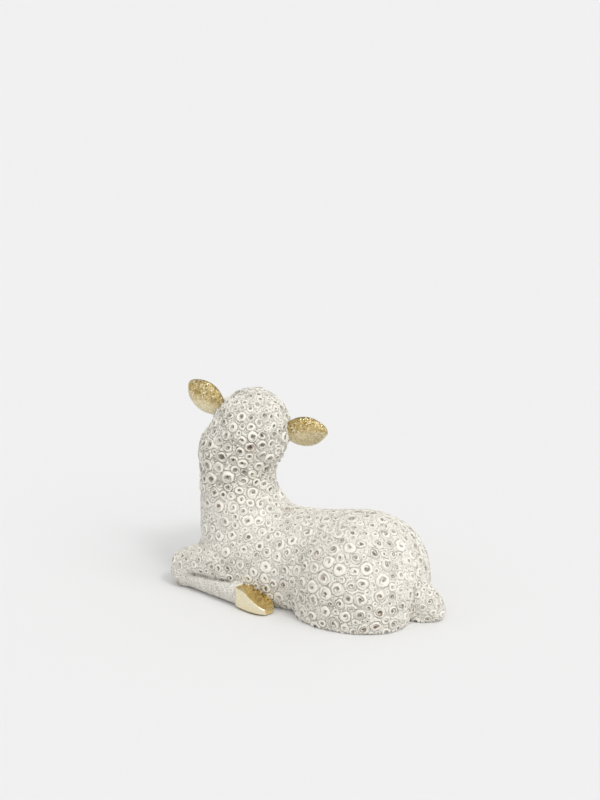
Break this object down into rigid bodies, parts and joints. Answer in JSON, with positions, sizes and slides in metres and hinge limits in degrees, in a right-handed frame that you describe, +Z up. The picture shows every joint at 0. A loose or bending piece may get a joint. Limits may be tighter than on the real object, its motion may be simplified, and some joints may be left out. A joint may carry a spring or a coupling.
{
  "type": "sheep figurine",
  "caption": "Cast resin figurine of a lying lamb with a curly carved fleece, its head turned away, gold ears and hooves, and a felt pad under its flat base.",
  "frame": {"origin": "middle of the felt pad's underside, on the surface that the lamb lies on", "axes": "+Z up, +X from the chest to the tail, +Y to the lamb's right side"},
  "size_m": [0.1654, 0.0904, 0.1226],
  "materials": {
    "wool_resin": "matte painted polyresin, cream with a grey-beige wash in the carving",
    "gold_paint": "metallic gold paint on polyresin, satin",
    "eye_glass": "glossy black",
    "steel_pin": "drawn wire",
    "dowel_wood": "turned beech",
    "plug_rubber": "moulded",
    "base_felt": "pressed felt"
  },
  "bodies": {
    "root": {"body_shell": "wool_resin", "head": "wool_resin", "left_foreleg": "wool_resin", "right_foreleg": "wool_resin", "tail": "wool_resin", "left_ear": "gold_paint", "right_ear": "gold_paint", "left_fore_hoof": "gold_paint", "right_fore_hoof": "gold_paint", "left_eye": "eye_glass", "right_eye": "eye_glass", "ear_pins": "steel_pin", "foreleg_pins": "steel_pin", "hoof_pins": "steel_pin", "tail_pin": "steel_pin", "neck_dowel": "dowel_wood", "base_plug": "plug_rubber", "base_felt": "base_felt"}
  },
  "joints": []
}
